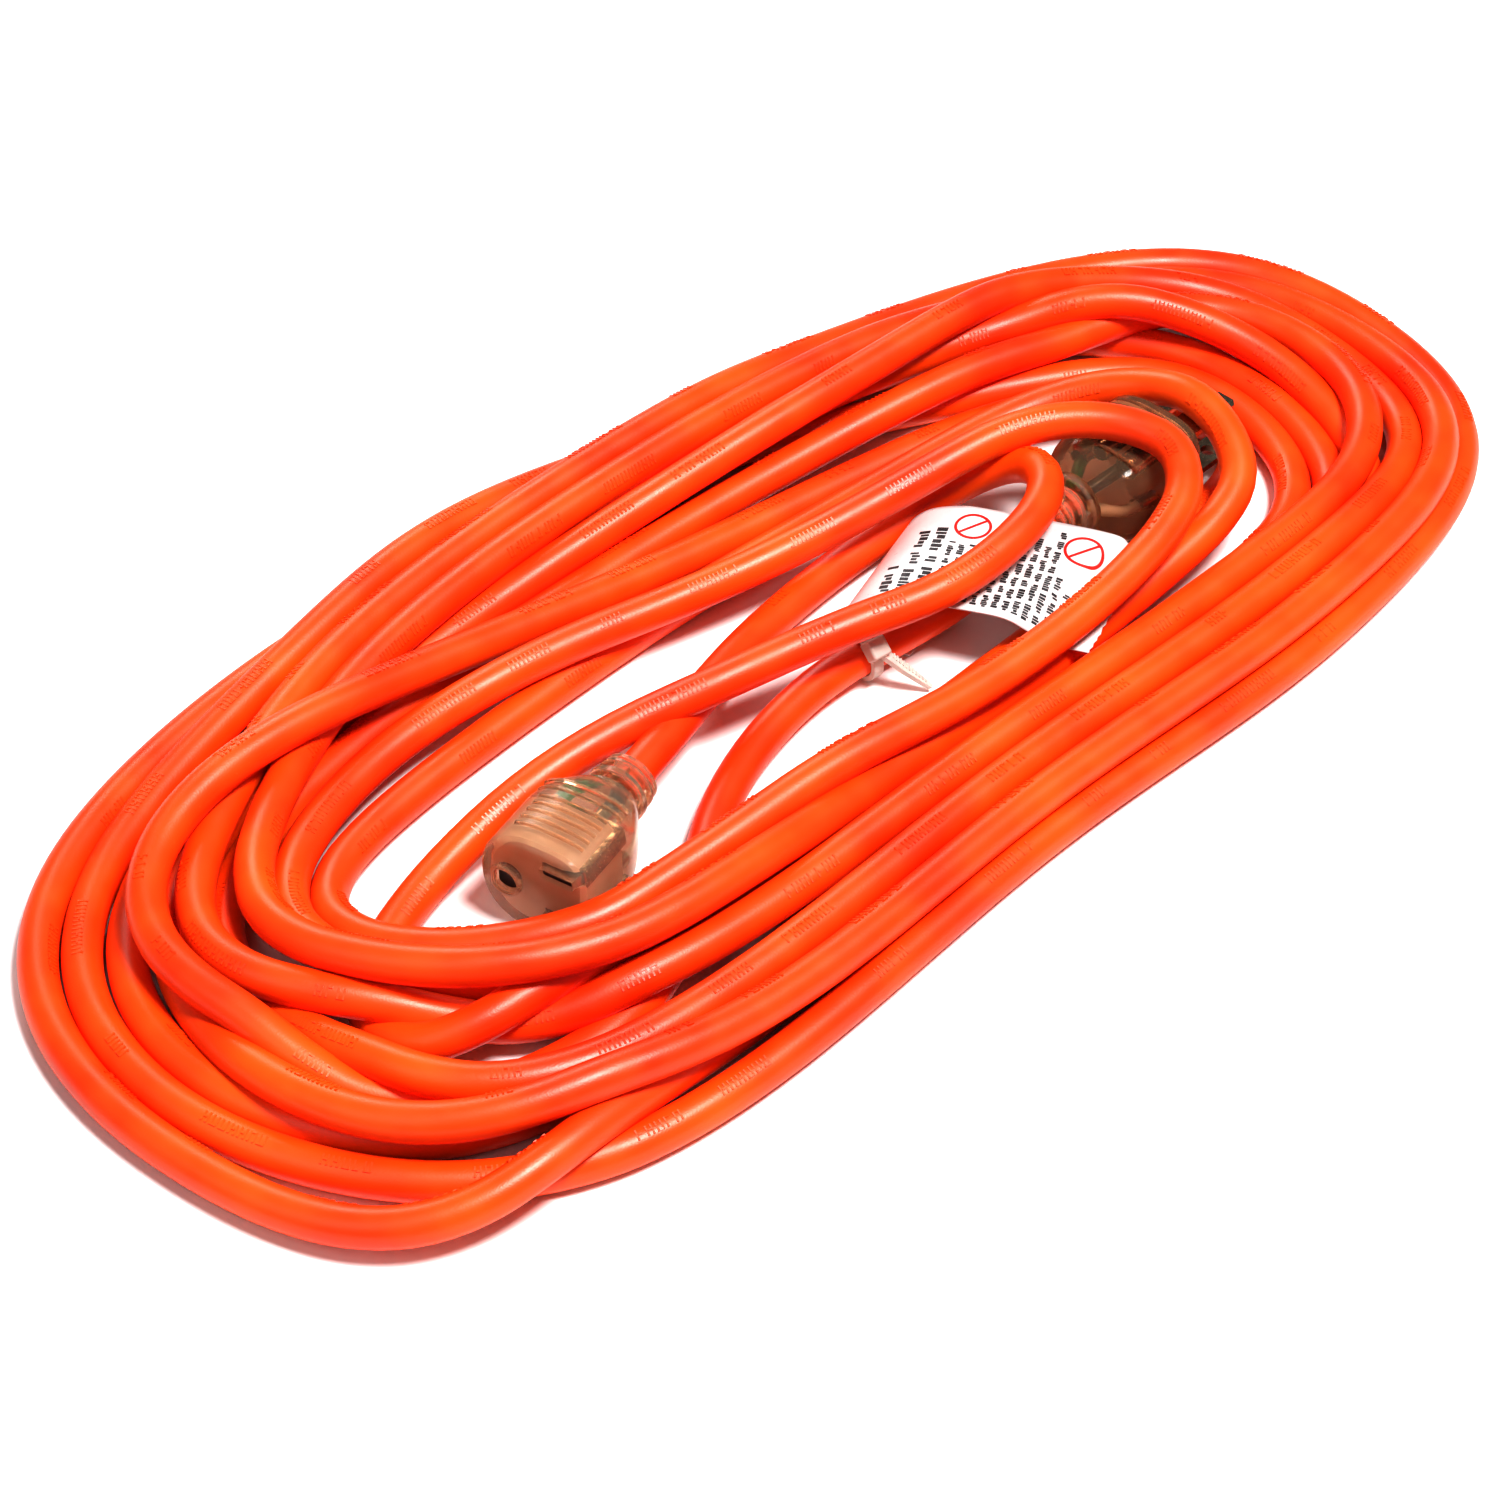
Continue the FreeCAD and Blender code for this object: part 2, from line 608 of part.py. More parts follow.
def flag_label():
    """A strip folded round the cord, both plies meeting in a flag on the near side."""
    half = size("label_thickness") / 2
    profile, _radii = rounded_path([(0, -across, up) for across, up in LABEL_PROFILE])
    section = Part.Face(profile.makeOffset2D(half, 0, True, True))
    return fixed_shape("flag_label", section.extrude(Vector(size("label_width"), 0, 0)), label_frame())


# ---------------------------------------------------------------- writing
def check(pieces):
    for item in doc.Objects:
        if "Invalid" in item.State or "Error" in item.State:
            raise RuntimeError(f"{item.Name} did not compute: {item.State}")
    for piece in pieces:
        shape = piece.Shape
        if shape.isNull() or not shape.isValid() or not shape.Solids:
            raise RuntimeError(f"{piece.Label} has no valid solid")


def write(pieces):
    os.makedirs("parts", exist_ok=True)
    for piece in pieces:
        piece.Shape.exportStep(f"parts/{piece.Label}.step")
        print(f"{piece.Label:28s} {len(piece.Shape.Solids)} solid(s) {piece.Shape.Volume:10.1f} mm3")


def build():
    pieces = plug() + connector() + [cord_hank()] + free_cords() + [cable_tie(), flag_label()]
    doc.recompute()
    check(pieces)
    write(pieces)


build()
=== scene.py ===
import json
import math

import bpy
import bmesh
import numpy as np
from mathutils import Matrix, Vector


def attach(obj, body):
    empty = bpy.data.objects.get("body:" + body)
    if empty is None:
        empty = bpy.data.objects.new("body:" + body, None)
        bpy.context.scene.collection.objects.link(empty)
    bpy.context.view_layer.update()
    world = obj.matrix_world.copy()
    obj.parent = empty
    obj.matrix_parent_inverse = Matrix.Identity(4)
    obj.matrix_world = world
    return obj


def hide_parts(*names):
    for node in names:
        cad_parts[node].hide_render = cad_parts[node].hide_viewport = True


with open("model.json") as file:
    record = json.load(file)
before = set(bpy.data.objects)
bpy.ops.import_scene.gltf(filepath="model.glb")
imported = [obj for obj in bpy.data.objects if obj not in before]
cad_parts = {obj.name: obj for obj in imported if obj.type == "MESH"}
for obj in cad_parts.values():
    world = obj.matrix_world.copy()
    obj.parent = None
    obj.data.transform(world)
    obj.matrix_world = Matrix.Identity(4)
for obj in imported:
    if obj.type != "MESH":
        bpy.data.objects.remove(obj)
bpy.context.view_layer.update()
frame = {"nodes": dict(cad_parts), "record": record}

# Everything is in metres in the model's own frame; the tables below are in millimetres.
MM = 0.001
CORD = 8.0                      # jacket diameter
REST = CORD / 2 + 0.03          # lowest height of the cord's axis

# ---------------------------------------------------------------- camera, light and floor
CAMERA_AZIMUTH = math.radians(-38)
CAMERA_HEIGHT = math.radians(45)
CAMERA_DISTANCE = 0.690
CAMERA_TARGET = Vector((-0.026, -0.014, 0.008))
CAMERA_LENS = 82.5


def make_camera():
    back = Vector((
        math.sin(CAMERA_AZIMUTH) * math.cos(CAMERA_HEIGHT),
        -math.cos(CAMERA_AZIMUTH) * math.cos(CAMERA_HEIGHT),
        math.sin(CAMERA_HEIGHT),
    ))
    data = bpy.data.cameras.new("camera")
    data.lens = CAMERA_LENS
    data.sensor_width = 36
    data.clip_start = 0.01
    camera = bpy.data.objects.new("camera", data)
    camera.location = CAMERA_TARGET + back * CAMERA_DISTANCE
    camera.rotation_euler = back.to_track_quat("Z", "Y").to_euler()
    bpy.context.collection.objects.link(camera)
    bpy.context.scene.camera = camera


def area_light(name, place, size, power, aim=(0, 0, 0)):
    data = bpy.data.lights.new(name, "AREA")
    data.energy = power
    data.shape = "DISK"
    data.size = size
    lamp = bpy.data.objects.new(name, data)
    lamp.location = place
    lamp.rotation_euler = (Vector(place) - Vector(aim)).to_track_quat("Z", "Y").to_euler()
    bpy.context.collection.objects.link(lamp)


def make_studio():
    world = bpy.data.worlds.new("studio")
    world.use_nodes = True
    background = world.node_tree.nodes["Background"]
    background.inputs["Color"].default_value = (1.0, 0.99, 0.98, 1)
    background.inputs["Strength"].default_value = 0.20
    bpy.context.scene.world = world
    view = bpy.context.scene.view_settings
    view.view_transform = "Standard"
    view.exposure = 0.10
    view.gamma = 0.70
    area_light("key", (0.12, -0.42, 1.15), 0.34, 22.0)
    area_light("fill", (-0.85, -0.10, 0.85), 0.8, 2.5)
    area_light("rim", (0.35, 1.0, 0.7), 0.5, 5.0)
    bpy.ops.mesh.primitive_plane_add(size=6, location=(0, 0, -0.0002))
    floor = bpy.context.active_object
    floor.name = "floor"
    material, shader, _nodes, _link = new_material("floor_pale", (0.93, 0.93, 0.93), 0.9)
    shader.inputs["Specular IOR Level"].default_value = 0.1
    floor.data.materials.append(material)


# ---------------------------------------------------------------- materials
def new_material(name, colour, roughness):
    material = bpy.data.materials.new(name)
    material.use_nodes = True
    nodes = material.node_tree.nodes
    shader = nodes["Principled BSDF"]
    shader.inputs["Base Color"].default_value = (*colour, 1)
    shader.inputs["Roughness"].default_value = roughness
    return material, shader, nodes, material.node_tree.links.new


def noise(nodes, link, scale, detail=3.0, stretch=(1, 1, 1)):
    """Noise in the model's own coordinates; scale is features per metre."""
    place = nodes.new("ShaderNodeTexCoord")
    mapping = nodes.new("ShaderNodeMapping")
    mapping.inputs["Scale"].default_value = stretch
    link(place.outputs["Object"], mapping.inputs["Vector"])
    texture = nodes.new("ShaderNodeTexNoise")
    texture.inputs["Scale"].default_value = scale
    texture.inputs["Detail"].default_value = detail
    link(mapping.outputs["Vector"], texture.inputs["Vector"])
    return texture.outputs["Fac"]


def ramp(nodes, link, value, low, high, start=0.3, end=0.7):
    node = nodes.new("ShaderNodeValToRGB")
    node.color_ramp.elements[0].position = start
    node.color_ramp.elements[0].color = (*low, 1)
    node.color_ramp.elements[1].position = end
    node.color_ramp.elements[1].color = (*high, 1)
    link(value, node.inputs["Fac"])
    return node.outputs["Color"]


def spread(nodes, link, value, low, high):
    node = nodes.new("ShaderNodeMapRange")
    node.inputs["From Min"].default_value = 0.25
    node.inputs["From Max"].default_value = 0.75
    node.inputs["To Min"].default_value = low
    node.inputs["To Max"].default_value = high
    link(value, node.inputs["Value"])
    return node.outputs["Result"]


def bump(nodes, link, shader, height, strength, distance):
    node = nodes.new("ShaderNodeBump")
    node.inputs["Strength"].default_value = strength
    node.inputs["Distance"].default_value = distance
    link(height, node.inputs["Height"])
    link(node.outputs["Normal"], shader.inputs["Normal"])


def surface(name, low, high, rough, scale, grain, relief):
    """A moulded or drawn surface: two close colours, uneven gloss and a fine grain."""
    material, shader, nodes, link = new_material(name, high, rough[0])
    broad = noise(nodes, link, scale)
    link(ramp(nodes, link, broad, low, high), shader.inputs["Base Color"])
    link(spread(nodes, link, noise(nodes, link, scale * 4), *rough), shader.inputs["Roughness"])
    bump(nodes, link, shader, noise(nodes, link, grain, 2.0), 0.25, relief)
    return material, shader


def jacket_material():
    material, shader = surface("jacket_orange", (0.80, 0.045, 0.001), (0.99, 0.125, 0.005),
                               (0.34, 0.46), 30, 2600, 0.00012)
    shader.inputs["Specular IOR Level"].default_value = 0.60
    return material


def clear_material(name, low, high, rough, transmission):
    material, shader = surface(name, low, high, rough, 60, 900, 0.0002)
    shader.inputs["Transmission Weight"].default_value = transmission
    shader.inputs["IOR"].default_value = 1.24
    return material


def metal_material(name, low, high, rough):
    material, shader = surface(name, low, high, rough, 400, 3000, 0.00005)
    shader.inputs["Metallic"].default_value = 1.0
    return material


MATERIALS = {
    "jacket": jacket_material(),
    "moulding": clear_material("moulding_amber", (0.92, 0.66, 0.46), (0.99, 0.82, 0.64),
                               (0.10, 0.20), 0.86),
    # A darker copy of the clear moulding for the plug: painted shade from the cords lying over it.
    "moulding_dark": clear_material("moulding_amber_shaded", (0.62, 0.35, 0.20), (0.82, 0.55, 0.36),
                                    (0.08, 0.18), 0.88),
    # The pocket material is painted shade: a near-black fill put in openings and recesses where only
    # shade falls.
    "pocket": surface("pocket_shadow", (0.010, 0.003, 0.002), (0.03, 0.010, 0.008), (0.5, 0.7),
                      300, 1500, 0.0001)[0],
    "ink_black": surface("ink_black", (0.015, 0.015, 0.016), (0.05, 0.05, 0.055), (0.4, 0.6),
                         500, 3000, 0.00002)[0],
    "ink_red": surface("ink_red", (0.55, 0.012, 0.010), (0.72, 0.03, 0.02), (0.4, 0.6),
                       500, 3000, 0.00002)[0],
    "pole": metal_material("pole_plated", (0.34, 0.26, 0.18), (0.56, 0.46, 0.34), (0.16, 0.30)),
    "copper": metal_material("copper_strands", (0.70, 0.28, 0.14), (0.85, 0.42, 0.25), (0.25, 0.4)),
    "carrier": surface("carrier_tan", (0.64, 0.42, 0.29), (0.76, 0.53, 0.38), (0.35, 0.5),
                       120, 1500, 0.0001)[0],
    "core_black": surface("core_black", (0.012, 0.012, 0.012), (0.03, 0.028, 0.026), (0.3, 0.45),
                          200, 1500, 0.0001)[0],
    "core_white": surface("core_white", (0.70, 0.64, 0.54), (0.82, 0.78, 0.70), (0.3, 0.45),
                          200, 1500, 0.0001)[0],
    "core_green": surface("core_green", (0.010, 0.16, 0.045), (0.02, 0.27, 0.08), (0.3, 0.45),
                          200, 1500, 0.0001)[0],
    "label": surface("label_film", (0.66, 0.65, 0.65), (0.76, 0.75, 0.74), (0.25, 0.4),
                     90, 1200, 0.0001)[0],
    "nylon": clear_material("nylon_natural", (0.80, 0.78, 0.70), (0.90, 0.88, 0.82),
                            (0.28, 0.42), 0.45),
}


def paint(piece, material):
    if not piece.material_slots:
        piece.data.materials.append(material)
    for slot in piece.material_slots:
        slot.material = material


def paint_frame():
    for entry in frame["record"]["subparts"]:
        paint(frame["nodes"][entry["node"]], MATERIALS[entry["material_slot"]])


# ---------------------------------------------------------------- the cord
SOCKET_ROUTE = [
    (-50.45, -8.24, 12.0), (-38.5, -3.65, 12.0), (-24.0, 4.5, 8.5), (-6.0, 13.5, 5.0),
    (18.0, 20.0, 4.2), (40.0, 22.5, 5.5), (56.0, 21.0, 10.0), (65.0, 14.0, 17.0),
    (66.5, 3.5, 22.8), (59.5, -6.0, 24.0), (46.0, -11.2, 23.0), (26.5, -12.6, 20.8),
    (4.0, -6.7, 19.2), (-22.0, -2.5, 17.0), (-48.0, 2.8, 13.5), (-70.0, 3.4, 10.0),
    (-92.0, -0.6, 6.0), (-108.0, -7.0, 4.3), (-119.0, -14.5, 4.1),
]
PLUG_ROUTE = [
    (63.4, -1.65, 11.5), (52.0, -3.25, 11.5), (37.0, -5.6, 7.4), (20.0, -4.8, 5.8),
    (2.0, -4.6, 5.6), (-16.0, -8.5, 4.6), (-33.0, -16.0, 4.1), (-48.0, -27.0, 4.1),
    (-59.0, -40.0, 4.1),
]
LEAD_IN = [(-128.5, -23.5, 4.1)]

# Stations round the ring, counter-clockwise from the left end: the outermost strand's axis,
# and the way across the ring towards the hole.
STATIONS = [
    ((-173.9, -3), (1, 0)),
    ((-148.5, -72.5), (0.6, 0.8)),
    ((-85, -78.5), (0, 1)),
    ((10, -65), (0, 1)),
    ((92, -58), (-0.1, 0.995)),
    ((158, -36), (-0.975, 0.223)),
    ((173.9, 3), (-1, -0.07)),
    ((162, 51), (-0.828, -0.56)),
    ((101, 76.5), (-0.4, -0.917)),
    ((0, 78.5), (0, -1)),
    ((-80, 70), (0.1, -0.995)),
    ((-154, 44), (0.75, -0.66)),
]

# One row a turn: at each station, how far in from the outermost strand (millimetres), and
# how high in the pile (layers).
LAYER = 7.0
TURNS = [
    [None, (40.4, 0), (35, 0.9), (24.6, 0.3), (24.6, 0), (38.5, 0),
     (45.2, 0), (42, 0), (33, 0), (8.2, 0), (0, 0), (0, 0)],
    [(0, 0), (0, 0), (8.2, 0.8), (8.2, 0), (8.2, 0), (22, 0),
     (29, 0), (33, 1), (19, 1), (16.4, 0.7), (12, 0), (16.4, 0)],
    [(16.4, 0), (23.4, 0), (17.8, 0), (16.4, 0), (16.4, 0), (30.2, 0),
     (37, 0), (33, 0), (16.4, 0), (0, 0), (4.1, 0.98), (8.2, 0)],
    [(8.2, 0), (15, 0), (0, 0), (0, 0), (0, 0), (0, 0),
     (0, 0), (0, 0.4), (1, 0.8), (5.5, 0.98), (12.3, 0.98), (28.7, 0.98)],
    [(28.7, 0.98), (49.2, 0), (25, 0.95), (20.5, 0.98), (20.5, 0.98), (26, 0.97),
     (21, 0), (24, 0.9), (31, 0.7), (26, 0), (28, 0), (32.8, 0)],
    [(32.8, 0), (27.6, 0.98), (13, 0.95), (12.3, 0.98), (12.3, 0.98), (12, 1),
     (13, 0), (16, 0.7), (22, 1.2), (21.7, 0.97), (20, 0), (24.6, 0)],
    [(24.6, 0), (19.1, 0.98), (4.3, 0.98), (4.1, 0.98), (4.1, 0.98), (6, 0.7),
     (6.5, 0.67), (8, 0.5), (11, 1), (13.3, 1.2), (20.5, 0.98), (41, 0)],
    [(41, 0), (53.7, 0.98), (30.5, 1.6), (31, 0.4), (32.8, 0.3), (52, 1.3),
     (65, 2.4), (64, 2.3), (49, 1.2), (45, 0), (47, 0), (49.6, 0)],
    [(49.6, 0), (66, 0.2), (47, 2.1), (29.5, 1.96), (35, 2.15), None,
     (83, 3.4), (91, 3.3), (70, 2.5), (54, 1), (38, 0.98), (45.3, 0.97)],
    [(45.3, 0.97), (57.6, 0), (42, 0.9), (38, 0), (45, 0), None,
     (53.3, 0), (52, 1), (41, 0.7), (36, 0), (29, 0.98), (20.5, 0.98)],
    [(20.5, 0.98), (31.8, 0), (26, 0)],
]

# What the turns lie on, as boxes in the ends' own frames: place, turn, low and high corner.
PLUG_FACE = (100.0, 3.5, 11.5)
PLUG_ANGLE = math.radians(8)
SOCKET_FACE = (-85.0, -21.5, 12.0)
SOCKET_ANGLE = math.radians(201)
BLOCKS = [
    (PLUG_FACE, PLUG_ANGLE, (-28, -13, -11.5), (0, 13, 11.5)),
    (PLUG_FACE, PLUG_ANGLE, (-37, -6.6, -6.6), (-28, 6.6, 6.6)),
    (PLUG_FACE, PLUG_ANGLE, (0, -9.1, -7.1), (16.5, -2.8, 7.1)),
    (PLUG_FACE, PLUG_ANGLE, (0, 3.6, -2.4), (20.5, 8.3, 2.4)),
    (SOCKET_FACE, SOCKET_ANGLE, (-27, -12, -12), (0, 12, 12)),
    (SOCKET_FACE, SOCKET_ANGLE, (-37, -6.6, -6.6), (-27, 6.6, 6.6)),
]
BLOCK_EDGE = 1.5                # their rounded edges
STEP = 4.2                      # between the points that settle
SETTLE_ROUNDS = 300
CALM_ROUNDS = 60                # the last ones, which only part what still touches
EASE_PASSES = 20
KEEP_EVERY = 3                  # settled points per control point
SINK = 0.04                     # how far down a point goes in a round
HOLD = 0.06                     # how strongly it is drawn back to its lane
ROOM_LOW = (-173.9, -80.9, REST)    # the room that the cord's axis has in the CAD box
ROOM_HIGH = (173.9, 80.9, 27.9)
NEAR = CORD + 5                 # points nearer than this may touch before the next search
NEIGHBOURS = 5                  # points along the cord that don't count as touching
JOIN = 8                        # points at each end that run on into a listed stretch


def lane_points():
    """The listed turns, one point a station."""
    points = [SOCKET_ROUTE[-2], SOCKET_ROUTE[-1], *LEAD_IN]
    for row in TURNS:
        for (outer, inward), lane in zip(STATIONS, row):
            if lane is None:
                continue
            across, layer = lane
            points.append((outer[0] + inward[0] * across, outer[1] + inward[1] * across,
                           REST + LAYER * layer))
    return np.array(points + [PLUG_ROUTE[-1], PLUG_ROUTE[-2]])


def through(points, steps=12):
    """A smooth line through the points of the turns."""
    before, here, after, beyond = points[:-3], points[1:-2], points[2:-1], points[3:]
    t = (np.arange(steps) / steps)[None, :, None]
    before, here, after, beyond = (p[:, None, :] for p in (before, here, after, beyond))
    line = 0.5 * (2 * here + (after - before) * t
                  + (2 * before - 5 * here + 4 * after - beyond) * t ** 2
                  + (3 * here - before - 3 * after + beyond) * t ** 3)
    return np.vstack([line.reshape(-1, 3), points[-2]])


def even(line, step):
    """The same line with its points a step apart."""
    reach = np.append(0, np.cumsum(np.linalg.norm(np.diff(line, axis=0), axis=1)))
    stops = np.linspace(0, reach[-1], int(round(reach[-1] / step)) + 1)
    return np.stack([np.interp(stops, reach, line[:, axis]) for axis in range(3)], axis=1)


def eased(line, passes):
    """The line with the stiffness of a cord: no corner is sharper than it bends."""
    line = line.copy()
    for _ in range(passes):
        line[2:-2] += 0.5 * ((line[1:-3] + line[3:-1]) / 2 - line[2:-2])
    return line


def cord_curve(name, points, thick):
    """A NURBS curve whose control points are the given points, in millimetres."""
    data = bpy.data.curves.new(name, "CURVE")
    data.dimensions = "3D"
    spline = data.splines.new("NURBS")
    spline.points.add(len(points) - 1)
    for control, point in zip(spline.points, points):
        control.co = (*(MM * coordinate for coordinate in point), 1)
    spline.order_u = 3
    spline.use_endpoint_u = True
    spline.resolution_u = 4
    data.bevel_depth = thick / 2 * MM
    data.bevel_resolution = 7
    curve = bpy.data.objects.new(name, data)
    bpy.context.collection.objects.link(curve)
    return curve


def spline_line(points):
    """Where a spline through the given control points runs, in millimetres."""
    curve = cord_curve("measure", points, 0)
    bpy.context.view_layer.update()
    mesh = bpy.data.meshes.new_from_object(curve)
    line = np.array([vertex.co[:] for vertex in mesh.vertices]) / MM
    data = curve.data
    bpy.data.objects.remove(curve)
    bpy.data.curves.remove(data)
    bpy.data.meshes.remove(mesh)
    return line


def near_pairs(points, moving):
    """Pairs of points that may touch, neighbours along the cord left out."""
    first, second = [], []
    for start in range(0, moving, 256):
        gap = points[start:start + 256, None, :] - points[None, :, :]
        rows, columns = np.nonzero((gap ** 2).sum(axis=2) < NEAR ** 2)
        rows = rows + start
        apart = columns > rows + NEIGHBOURS
        first.append(rows[apart])
        second.append(columns[apart])
    first, second = np.concatenate(first), np.concatenate(second)
    at_a_join = (second >= moving) & ((first < JOIN) | (first >= moving - JOIN))
    return first[~at_a_join], second[~at_a_join]


def push_off_blocks(points):
    """Moves the cord's axis out of the moulded ends."""
    for place, angle, low, high in BLOCKS:
        cos, sin = math.cos(angle), math.sin(angle)
        turn = np.array([[cos, sin, 0], [-sin, cos, 0], [0, 0, 1]])
        local = (points - np.array(place)) @ turn.T
        closest = np.clip(local, np.array(low) + BLOCK_EDGE, np.array(high) - BLOCK_EDGE)
        gap = local - closest
        far = np.linalg.norm(gap, axis=1)
        reach = CORD / 2 + BLOCK_EDGE
        inside = far < 1e-6
        touching = (far < reach) & ~inside
        move = np.zeros_like(local)
        move[touching] = gap[touching] / far[touching, None] * (reach - far[touching, None])
        move[inside, 2] = (high[2] + CORD / 2 - local[inside, 2]) * 0.5
        points += move @ turn


def settle(line, fixed):
    """Lets the turns sink onto the floor, the ends and each other."""
    laid = line.copy()
    moving = len(line)
    points = np.vstack([line, fixed])
    for turn in range(SETTLE_ROUNDS):
        if turn % 10 == 0:
            first, second = near_pairs(points, moving)
        gap = points[first] - points[second]
        far = np.linalg.norm(gap, axis=1)
        close = far < CORD
        push = gap[close] / np.maximum(far[close], 1e-6)[:, None]
        push *= (CORD - far[close])[:, None] / 2
        held = second[close] >= moving
        move = np.zeros_like(points)
        count = np.zeros(len(points))
        np.add.at(move, first[close], push * np.where(held, 2, 1)[:, None])
        np.add.at(count, first[close], 1)
        np.add.at(move, second[close][~held], -push[~held])
        np.add.at(count, second[close][~held], 1)
        move /= np.sqrt(np.maximum(count, 1))[:, None]
        live = points[:moving]
        live += 0.8 * np.clip(move[:moving], -1, 1)
        if turn < SETTLE_ROUNDS - CALM_ROUNDS:
            live[:, 2] -= SINK
            live[:, :2] += HOLD * (laid[:, :2] - live[:, :2])
        for _ in range(2):
            shift = live - laid
            live[1:-1, :2] += 0.5 * ((shift[:-2, :2] + shift[2:, :2]) / 2 - shift[1:-1, :2])
            live[1:-1, 2] += 0.45 * ((live[:-2, 2] + live[2:, 2]) / 2 - live[1:-1, 2])
        push_off_blocks(live)
        live[:] = np.clip(live, ROOM_LOW, ROOM_HIGH)
        live[:3], live[-3:] = laid[:3], laid[-3:]
    return points[:moving]


# ---------------------------------------------------------------- building pieces
def frame_at(place, angle):
    return Matrix.Translation(place) @ Matrix.Rotation(angle, 4, "Z")


SHARP = 35                      # edges that turn by more than this many degrees stay sharp


def make_piece(name, faces_of, where, material, body="cord", sharp=SHARP):
    """One named piece from (vertices, faces) in millimetres of its own frame."""
    vertices, faces = faces_of
    mesh = bpy.data.meshes.new(name)
    mesh.from_pydata([where @ Vector(vertex) * MM for vertex in vertices], [], faces)
    mesh.validate()
    shell = bmesh.new()
    shell.from_mesh(mesh)
    bmesh.ops.recalc_face_normals(shell, faces=shell.faces)
    shell.to_mesh(mesh)
    shell.free()
    piece = bpy.data.objects.new(name, mesh)
    bpy.context.collection.objects.link(piece)
    mesh.materials.append(material)
    soften(mesh, sharp)
    if body:
        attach(piece, body)
    return piece


def soften(mesh, sharp):
    mesh.polygons.foreach_set("use_smooth", [True] * len(mesh.polygons))
    mesh.set_sharp_from_angle(angle=math.radians(sharp))


def joined(*parts):
    vertices, faces = [], []
    for more, sides in parts:
        start = len(vertices)
        vertices += more
        faces += [tuple(start + corner for corner in side) for side in sides]
    return vertices, faces


def rail(rings, closed=True, capped=True):
    """A skin over rings of equal length."""
    count = len(rings[0])
    vertices = [vertex for ring in rings for vertex in ring]
    faces = []
    for row in range(len(rings) - 1):
        for k in range(count if closed else count - 1):
            a, b = row * count + k, row * count + (k + 1) % count
            faces.append((a, b, b + count, a + count))
    if capped:
        last = (len(rings) - 1) * count
        faces += [tuple(range(count))[::-1], tuple(range(last, last + count))]
    return vertices, faces


def brick(low, high):
    (x0, y0, z0), (x1, y1, z1) = low, high
    return rail([[(x, y0, z0), (x, y1, z0), (x, y1, z1), (x, y0, z1)] for x in (x0, x1)])


def lathe(profile, sides=48, y=0.0, z=0.0):
    """A closed (x, radius) outline turned about an axis along X."""
    rings = [[(x, y + r * math.cos(2 * math.pi * k / sides), z + r * math.sin(2 * math.pi * k / sides))
              for x, r in profile] for k in range(sides + 1)]
    vertices, faces = rail(rings[:-1], capped=False)
    count, last = len(profile), (sides - 1) * len(profile)
    faces += [(last + k, last + (k + 1) % count, (k + 1) % count, k) for k in range(count)]
    return vertices, faces


def section(x, half_y, half_z, blunt, start=0.0, end=360.0, sides=72):
    """A rounded outline across the moulding; blunt holds how square its -Y and +Y sides are."""
    ring = []
    whole = end - start >= 360
    for k in range(sides if whole else sides + 1):
        t = math.radians(start + (end - start) * k / sides)
        c, s = math.cos(t), math.sin(t)
        power = 2 / (blunt[0] if c < 0 else blunt[1])
        ring.append((x, half_y * math.copysign(abs(c) ** power, c),
                     half_z * math.copysign(abs(s) ** power, s)))
    return ring


def carve(piece, cutters):
    """Cuts the cutters out of the piece."""
    for cutter in cutters:
        cut = piece.modifiers.new("cut", "BOOLEAN")
        cut.object = cutter
        cut.operation = "DIFFERENCE"
        cut.solver = "EXACT"
    bpy.context.view_layer.update()
    shaped = piece.evaluated_get(bpy.context.evaluated_depsgraph_get())
    mesh = bpy.data.meshes.new_from_object(shaped)
    piece.modifiers.clear()
    piece.data = mesh
    soften(mesh, SHARP)
    for cutter in cutters:
        bpy.data.objects.remove(cutter)


def boot(start):
    """The strain relief: a sleeve with three collars, joined by webs."""
    sleeve = [(-1.5, 4.12), (-1.5, 6.9), (0.5, 7.0), (0.9, 6.7), (0.9, 4.75), (2.5, 4.75),
              (2.5, 6.4), (2.8, 6.7), (4.1, 6.7), (4.4, 6.4), (4.4, 4.75), (6.0, 4.75),
              (6.0, 6.0), (6.3, 6.3), (7.0, 6.3), (7.2, 6.1), (7.2, 4.75), (7.7, 4.75),
              (7.7, 5.7), (7.95, 5.95), (8.8, 5.95), (9.0, 5.7), (9.0, 4.12)]
    parts = [lathe([(start - x, r) for x, r in sleeve])]
    for near, far, upright in ((0.8, 2.6, False), (4.3, 6.1, True)):
        for side in (-1, 1):
            low, high = sorted((side * 4.6, side * 6.1))
            if upright:
                parts.append(brick((start - far, -1.6, low), (start - near, 1.6, high)))
            else:
                parts.append(brick((start - far, low, -1.6), (start - near, high, 1.6)))
    return joined(*parts)


def ribs(stations, half, blunt, start, end, lift, wide):
    """Low grip ribs across the top of a moulding."""
    parts = []
    for x in stations:
        rings = []
        for shift, scale in ((-wide / 2, 0.985), (-wide / 4, 1 + lift), (wide / 4, 1 + lift),
                             (wide / 2, 0.985)):
            ring = section(x + shift, half[0] * scale, half[1] * scale, blunt, start, end, 24)
            tail = section(x + shift, half[0] * 0.98, half[1] * 0.98, blunt, start, end, 24)
            rings.append([tail[0]] + ring[1:-1] + [tail[-1]])
        parts.append(rail([list(line) for line in zip(*rings)]))
    return joined(*parts)


def d_shape(x, radius, flat, y=0.0, grow=0.0):
    """A round outline with a flat on its -Y side."""
    ring = []
    for k in range(40):
        t = 2 * math.pi * k / 40
        ring.append((x, y + max((radius + grow) * math.cos(t), -(flat + grow)),
                     (radius + grow) * math.sin(t)))
    return ring


